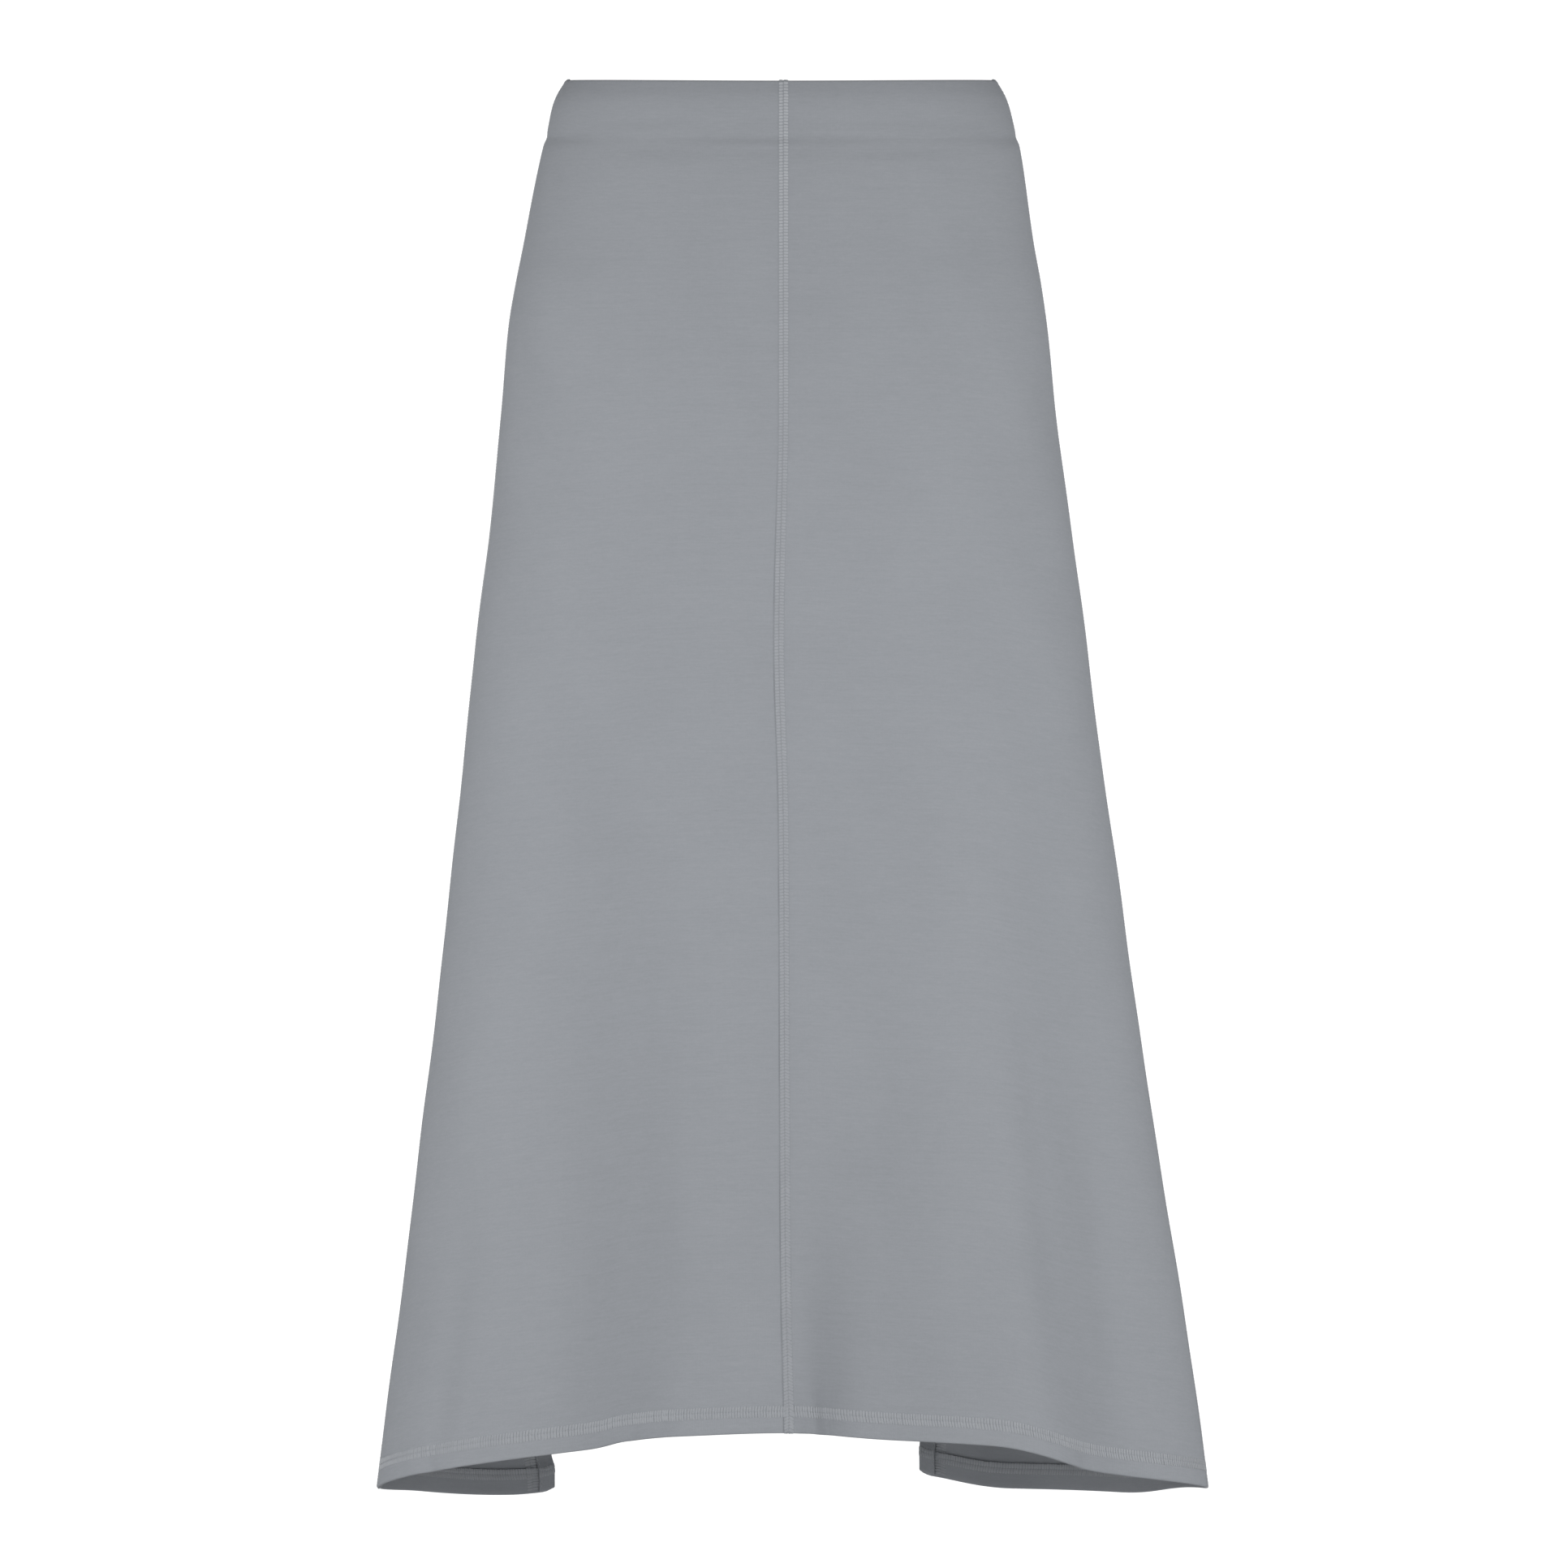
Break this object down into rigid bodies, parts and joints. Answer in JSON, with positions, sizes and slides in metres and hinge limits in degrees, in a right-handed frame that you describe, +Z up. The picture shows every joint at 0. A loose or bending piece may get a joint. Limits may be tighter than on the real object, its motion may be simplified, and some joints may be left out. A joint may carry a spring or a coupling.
{
  "type": "a-line midi skirt",
  "caption": "Hollow A-line midi skirt in jersey with a turned-in elastic waist, flat seams, an arched front hem and an open vent at the centre back.",
  "frame": {"origin": "middle of the waist opening, where the skirt is held", "axes": "+Z up towards the waist, -Y out of the front, +X to the right in a front view"},
  "size_m": [0.4698, 0.3041, 0.8181],
  "materials": {
    "jersey": "matte blue-grey cotton jersey with a fine knit",
    "elastic": "flat elastic inside the turned-in edge of the same jersey"
  },
  "bodies": {
    "root": {"front_left": "jersey", "front_right": "jersey", "back_right": "jersey", "back_left": "jersey", "waist_elastic": "elastic"}
  },
  "joints": []
}
